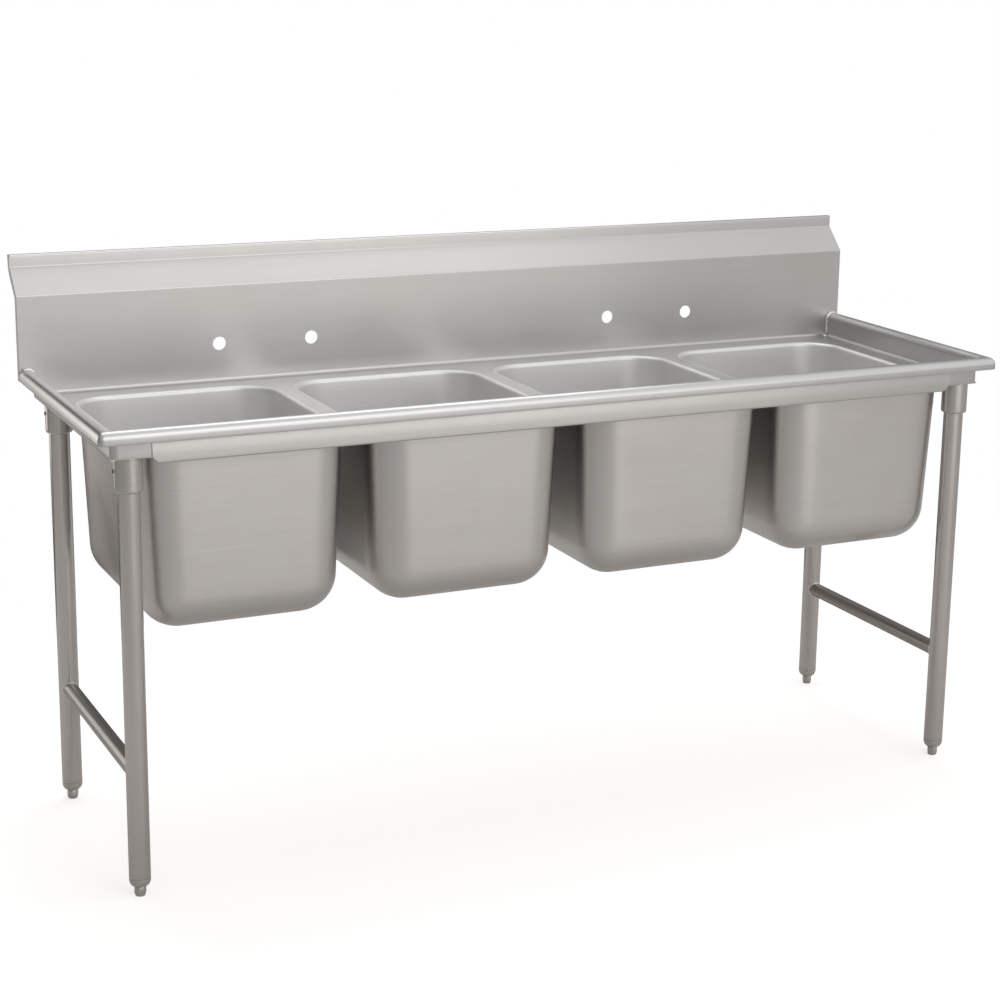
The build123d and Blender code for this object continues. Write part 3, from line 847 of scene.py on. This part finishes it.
def make_foot(corner):
    """A foot: hexagonal head, domed sole and a threaded stud."""
    centre, low, high = measured(f"foot_{corner}")
    flats, head, chamfer = (high.y - low.y) / 2, 0.019, 0.0016
    sole_round, trim = 0.0014, 0.0004

    def ring(radius_at, steps, z):
        return [
            (centre.x + radius_at(a) * math.cos(a), centre.y + radius_at(a) * math.sin(a), z) for a in turn(steps)
        ]

    def hexagon(a):
        return flats / max(math.cos(a - math.pi / 2 - k * math.pi / 3) for k in range(6))

    profile = [(trim, low.z), (0.0055, low.z)]
    profile += arc(flats - sole_round - trim, low.z + sole_round, sole_round, 270, 350, 7)
    profile += [(flats + chamfer, low.z + 0.0065), (flats + chamfer, head - chamfer)]
    profile += [(flats - trim, head), (0.0074, head)]
    rows = [ring(lambda a, r=radius: min(r, hexagon(a)), 72, z) for radius, z in profile]
    b = Builder()
    b.grid(rows, close_cols=True)
    b.cap(rows[0], flip=True)

    def thread(z, a):
        wave = abs(((z / THREAD_PITCH - a / (2 * math.pi)) % 1.0) * 2 - 1)
        return STUD_RADIUS - THREAD_DEPTH * wave

    heights = np.arange(head - 0.0002, high.z, THREAD_PITCH / 8)
    rows = [ring(lambda a, z=z: thread(z, a), 36, z) for z in heights]
    b.grid(rows, close_cols=True)
    b.cap(rows[-1])
    b.cap(rows[0], flip=True)
    name = f"foot_{corner}"
    sharpen(b.made(f"screw_{name}", turned_steel, body=name, slot="foot_steel", replaces=(name,)), 28)


# ---- Drains ---------------------------------------------------------
def make_drain_body(number):
    """The drain's flange and cup, with softened edges and a threaded outlet."""
    centre, low, high = measured(f"drain_body_{number}")
    flange, cup, bore, tail, tail_bore = (high.x - low.x) / 2, 0.042, 0.0395, 0.0239, 0.0205
    top, end = high.z, low.z
    seat = end + 0.020                      # where the outlet begins under the cup
    lip, rim_edge, cup_edge = 0.0015, 0.0018, 0.003
    thread_turns, pitch, depth = 11, 0.0016, 0.0009
    profile = [(tail_bore, end + 0.0005), (tail_bore, seat + 0.002), (bore - 0.002, seat + 0.0025)]
    profile += [(bore, seat + 0.0045), (bore, top - lip)] + arc(bore + lip, top - lip, lip, 180, 90, 5)
    profile += arc(flange - rim_edge, top - rim_edge, rim_edge, 90, 0, 5) + [(flange, BOWL_FLOOR), (cup, BOWL_FLOOR)]
    profile += [(cup, seat + cup_edge)] + arc(cup - cup_edge, seat + cup_edge, cup_edge, 0, -90, 4)
    profile += [(tail + 0.0004, seat)]
    for i in range(thread_turns):
        z = seat - 0.0012 - i * pitch
        profile += [(tail - depth, z), (tail, z - pitch / 2)]
    profile += [(tail - 0.0004, end), (tail_bore, end)]
    b = Builder()
    lathe(b, profile, (centre.x, centre.y))
    name = f"drain_cup_{number}"
    sharpen(b.made(name, drain_steel, slot="drain_steel", replaces=(f"drain_body_{number}",)), 35)


def basket_wall(builder, axis, low_end, high_end):
    """The basket's slotted wall between two (radius, height) ends."""
    slots, gauge = 24, 0.0008
    bar, slot = (0.0, 0.2, 0.4), (0.4, 0.6, 0.8, 1.0)      # shares of one division
    bridges = ((0.0, 0.16), (0.46, 0.54), (0.84, 1.0))     # shares of the height that cross a slot
    (low_radius, bottom), (high_radius, top) = low_end, high_end
    division = 2 * math.pi / slots

    def point(a, t, inset):
        r = low_radius + (high_radius - low_radius) * t - inset
        return (axis[0] + r * math.cos(a), axis[1] + r * math.sin(a), bottom + (top - bottom) * t)

    for inset in (0.0, gauge):
        for start in turn(slots):
            builder.grid([[point(start + division * s, t, inset) for s in bar] for t in np.linspace(0, 1, 8)])
            for bridge in bridges:
                builder.grid([[point(start + division * s, t, inset) for s in slot] for t in bridge])


def basket_floor(builder, axis, radius, height):
    """The basket's floor with a hole for the post and rings of small holes."""
    gauge, post_hole, small_hole = 0.0008, 0.0042, 0.0017
    outline = arc(0, 0, radius, 0, 360, 72)[:-1]
    holes = [arc(0, 0, post_hole, 360, 0, 24)[:-1]]
    for ring_radius, count in ((0.011, 6), (0.0185, 12), (0.0262, 18)):
        for a in turn(count):
            holes.append(arc(ring_radius * math.cos(a), ring_radius * math.sin(a), small_hole, 360, 0, 12)[:-1])
    for z, flip in ((height, False), (height - gauge, True)):
        builder.panel([outline] + holes, lambda p, z=z: (axis[0] + p[0], axis[1] + p[1], z), flip)
    for hole in holes:
        rows = [[(axis[0] + u, axis[1] + v, z) for u, v in hole] for z in (height, height - gauge)]
        builder.grid(rows, close_cols=True)


def make_basket(number):
    """The lift-out basket: a rolled rim, a perforated wall and floor, a post with a knob, and a rubber stopper."""
    centre, low, high = measured(f"drain_basket_{number}")
    axis = (centre.x, centre.y)
    rim_z, floor_z, top = BOWL_FLOOR - 0.001, low.z + 0.0037, high.z
    rim, wall, foot, base = (high.x - low.x) / 2, 0.0362, 0.0345, 0.0305
    roll, inner_roll = 0.0011, 0.0014
    rides = {"body": f"basket_{number}", "slot": "drain_steel"}
    cup = Builder()
    profile = arc(rim - roll, rim_z - roll, roll, -60, 90, 6) + [(wall + 0.0004, rim_z - 0.0002)]
    profile += arc(wall, rim_z - 0.0016, inner_roll, 90, 180, 4)
    lathe(cup, profile[::-1] + [(rim - roll, rim_z - 2 * roll), (wall - inner_roll, rim_z - 0.0016)], axis)
    wall_bottom = floor_z + 0.0030
    basket_wall(cup, axis, (foot, wall_bottom), (wall - inner_roll, rim_z - 0.0016))
    lathe(cup, [(foot, wall_bottom), (foot - 0.0012, floor_z + 0.0008), (base, floor_z)], axis)
    basket_floor(cup, axis, base, floor_z)
    sharpen(cup.made(f"basket_cup_{number}", drain_steel, replaces=(f"drain_basket_{number}",), **rides), 35)
    knob_radius, knob_dome, point = 0.0078, 0.0048, 0.0002
    shape = [(point, top)]
    for t in np.linspace(0.3, math.pi / 2, 10):
        shape.append((knob_radius * math.sin(t), top - knob_dome * (1 - math.cos(t))))
    shape += [(knob_radius, top - 0.0060), (0.0055, top - 0.0085), (0.0032, top - 0.0095)]
    shape += [(0.0030, floor_z + 0.002), (0.0050, floor_z), (point, floor_z)]
    knob = Builder()
    lathe(knob, shape, axis, 48)
    knob.made(f"basket_knob_{number}", drain_steel, **rides)
    soft, stopper_top = 0.0012, floor_z - 0.0009
    shape = [(point, low.z), (0.0215, low.z)] + arc(0.0222, low.z + soft, soft, 270, 360, 4)
    shape += [(0.0250, low.z + 0.0026), (0.0250, stopper_top), (point, stopper_top)]
    stopper = Builder()
    lathe(stopper, shape, axis, 56)
    sharpen(stopper.made(f"basket_stopper_{number}", gasket_rubber, body=rides["body"], slot="gasket_rubber"))


def finish_cad_nodes():
    """The pieces whose CAD shape is right as it is get their finish."""
    finishes = {
        "drain_gasket": gasket_rubber,
        "drain_washer": washer_fibre,
        "drain_locknut": cast_metal,
        "socket_plate": sheet_steel,
    }
    for name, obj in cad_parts.items():
        for start, material in finishes.items():
            if name.startswith(start):
                obj.data.materials.clear()
                obj.data.materials.append(material)


# ---- Light, floor and camera ----------------------------------------
# What the steel reflects: three ramps that are multiplied, each of (position, colour) stops.
# Position from straight down (0) to straight up (1):
HEIGHT_SHADES = (
    (0.00, (0.20, 0.19, 0.18)),
    (0.38, (0.50, 0.475, 0.455)),
    (0.50, (0.80, 0.78, 0.765)),
    (0.62, (0.95, 0.95, 0.95)),
    (0.85, (1.00, 1.00, 1.00)),
    (1.00, (0.92, 0.92, 0.93)),
)
# Position from the room in front (0) to the wall behind (1):
DEPTH_SHADES = (
    (0.00, (1.0, 1.0, 1.0)),
    (0.45, (1.0, 1.0, 1.0)),
    (0.70, (0.60, 0.59, 0.585)),
    (1.00, (0.14, 0.135, 0.13)),
)
# Position from the left (0) to the right (1):
WIDTH_SHADES = (
    (0.00, (0.32, 0.32, 0.32)),
    (0.38, (0.68, 0.68, 0.68)),
    (0.60, (1.0, 1.0, 1.0)),
    (1.00, (1.0, 1.0, 1.0)),
)
WORLD_STRENGTH = 0.88
FLOOR_COLOUR = (0.66, 0.64, 0.62, 1)
FLOOR_LIFT = 0.62                           # how much the floor is brightened for the camera alone
# Soft lights: name, place, what it points at, size, watts and colour.
LIGHTS = (
    ("key", (0.2, -3.9, 3.2), (0.0, 0.0, 0.75), (3.4, 2.0), 18, (1, 1, 1)),
    ("fill", (1.0, -3.9, 1.2), (-0.2, 0.0, 0.7), (3.0, 2.0), 12, (1.0, 0.975, 0.95)),
    ("top", (0.1, 1.2, 3.4), (0.0, 0.0, 0.8), (3.2, 2.0), 32, (1, 1, 1)),
    ("left", (-2.5, 2.3, 0.9), (-0.9, 0.0, 0.6), (1.8, 1.6), 12, (1.0, 0.965, 0.93)),
)


def area_light(name, position, target, size, power, colour):
    """A soft light that isn't seen itself."""
    light = bpy.data.lights.new(name, "AREA")
    light.shape = "RECTANGLE"
    light.size, light.size_y = size
    light.energy = power
    light.color = colour
    obj = bpy.data.objects.new(name, light)
    bpy.context.scene.collection.objects.link(obj)
    obj.visible_camera = False
    obj.location = position
    obj.rotation_euler = (Vector(target) - Vector(position)).to_track_quat("-Z", "Y").to_euler()


def make_world():
    """A pale studio: white to the eye, and shaded from floor to ceiling and to the back where steel reflects it."""
    world = bpy.data.worlds.new("studio")
    bpy.context.scene.world = world
    world.use_nodes = True
    tree = world.node_tree
    tree.nodes.clear()

    def add(kind, **values):
        node = tree.nodes.new(kind)
        for key, value in values.items():
            setattr(node, key, value)
        return node

    def ramp(value, low, high, stops):
        spread = add("ShaderNodeMapRange")
        spread.inputs["From Min"].default_value = low
        spread.inputs["From Max"].default_value = high
        tree.links.new(value, spread.inputs["Value"])
        made = add("ShaderNodeValToRGB")
        elements = made.color_ramp.elements
        while len(elements) < len(stops):
            elements.new(0.5)
        for element, (position, colour) in zip(elements, stops):
            element.position = position
            element.color = (*colour, 1)
        tree.links.new(spread.outputs["Result"], made.inputs["Fac"])
        return made.outputs["Color"]

    coordinates = add("ShaderNodeTexCoord")
    separate = add("ShaderNodeSeparateXYZ")
    tree.links.new(coordinates.outputs["Generated"], separate.inputs["Vector"])
    height = ramp(separate.outputs["Z"], -1.0, 1.0, HEIGHT_SHADES)
    depth = ramp(separate.outputs["Y"], -1.0, 1.0, DEPTH_SHADES)
    width = ramp(separate.outputs["X"], -1.0, 1.0, WIDTH_SHADES)

    def multiplied(a, b):
        product = add("ShaderNodeMix", data_type="RGBA", blend_type="MULTIPLY")
        product.inputs["Factor"].default_value = 1.0
        for socket, value in zip([s for s in product.inputs if s.type == "RGBA"], (a, b)):
            tree.links.new(value, socket)
        return [s for s in product.outputs if s.type == "RGBA"][0]

    reflected = add("ShaderNodeBackground")
    reflected.inputs["Strength"].default_value = WORLD_STRENGTH
    tree.links.new(multiplied(multiplied(height, depth), width), reflected.inputs["Color"])
    seen = add("ShaderNodeBackground")
    seen.inputs["Color"].default_value = (1, 1, 1, 1)
    path = add("ShaderNodeLightPath")
    mix = add("ShaderNodeMixShader")
    output = add("ShaderNodeOutputWorld")
    tree.links.new(path.outputs["Is Camera Ray"], mix.inputs["Fac"])
    tree.links.new(reflected.outputs["Background"], mix.inputs[1])
    tree.links.new(seen.outputs["Background"], mix.inputs[2])
    tree.links.new(mix.outputs["Shader"], output.inputs["Surface"])


def make_floor():
    """A plain pale floor: bright to the eye, dull where the steel reflects it."""
    bpy.ops.mesh.primitive_plane_add(size=1, location=(0, -2.2, -0.0005))
    floor = bpy.context.object
    floor.name = "floor"
    floor.scale = (14.0, 7.0, 1.0)
    n = Nodes("pale_floor")
    n.shader.inputs["Base Color"].default_value = FLOOR_COLOUR
    n.shader.inputs["Roughness"].default_value = 0.9
    n.shader.inputs["Specular IOR Level"].default_value = 0.0
    n.shader.inputs["Emission Color"].default_value = (1, 1, 1, 1)
    path = n.add("ShaderNodeLightPath")
    n.link(n.maths("MULTIPLY", path.outputs["Is Camera Ray"], FLOOR_LIFT), n.shader.inputs["Emission Strength"])
    floor.data.materials.append(n.material)


def make_camera():
    """The camera, to the left of the sink and a little above its rim."""
    azimuth, elevation, roll = (math.radians(v) for v in (-25.93, 13.71, 0.92))
    back = Vector(
        (math.sin(azimuth) * math.cos(elevation), -math.cos(azimuth) * math.cos(elevation), math.sin(elevation))
    )
    right = (-back).cross(Vector((0, 0, 1))).normalized()
    up = right.cross(-back)
    right, up = math.cos(roll) * right + math.sin(roll) * up, math.cos(roll) * up - math.sin(roll) * right
    camera = bpy.data.cameras.new("camera")
    camera.sensor_width = 36.0
    camera.lens = 77.6
    camera.shift_x, camera.shift_y = -0.036, -0.038
    camera.clip_end = 100.0
    obj = bpy.data.objects.new("camera", camera)
    bpy.context.scene.collection.objects.link(obj)
    obj.matrix_world = Matrix.Translation((-1.900, -4.004, 1.778)) @ Matrix((right, up, back)).transposed().to_4x4()
    bpy.context.scene.camera = obj


make_camera()
make_world()
make_floor()
for light_values in LIGHTS:
    area_light(*light_values)
bpy.context.scene.view_settings.view_transform = "Standard"

make_rim()
make_deck()
for bowl in BOWLS:
    make_bowl(bowl)
    make_drain_body(bowl)
    make_basket(bowl)
make_splash()
make_apron()
make_set_screws()
for end in (-1, 1):
    make_splash_return(end)
    make_rail(end)
for corner_name in CORNERS:
    make_leg(corner_name)
    make_socket(corner_name)
    make_foot_insert(corner_name)
    make_foot(corner_name)
finish_cad_nodes()
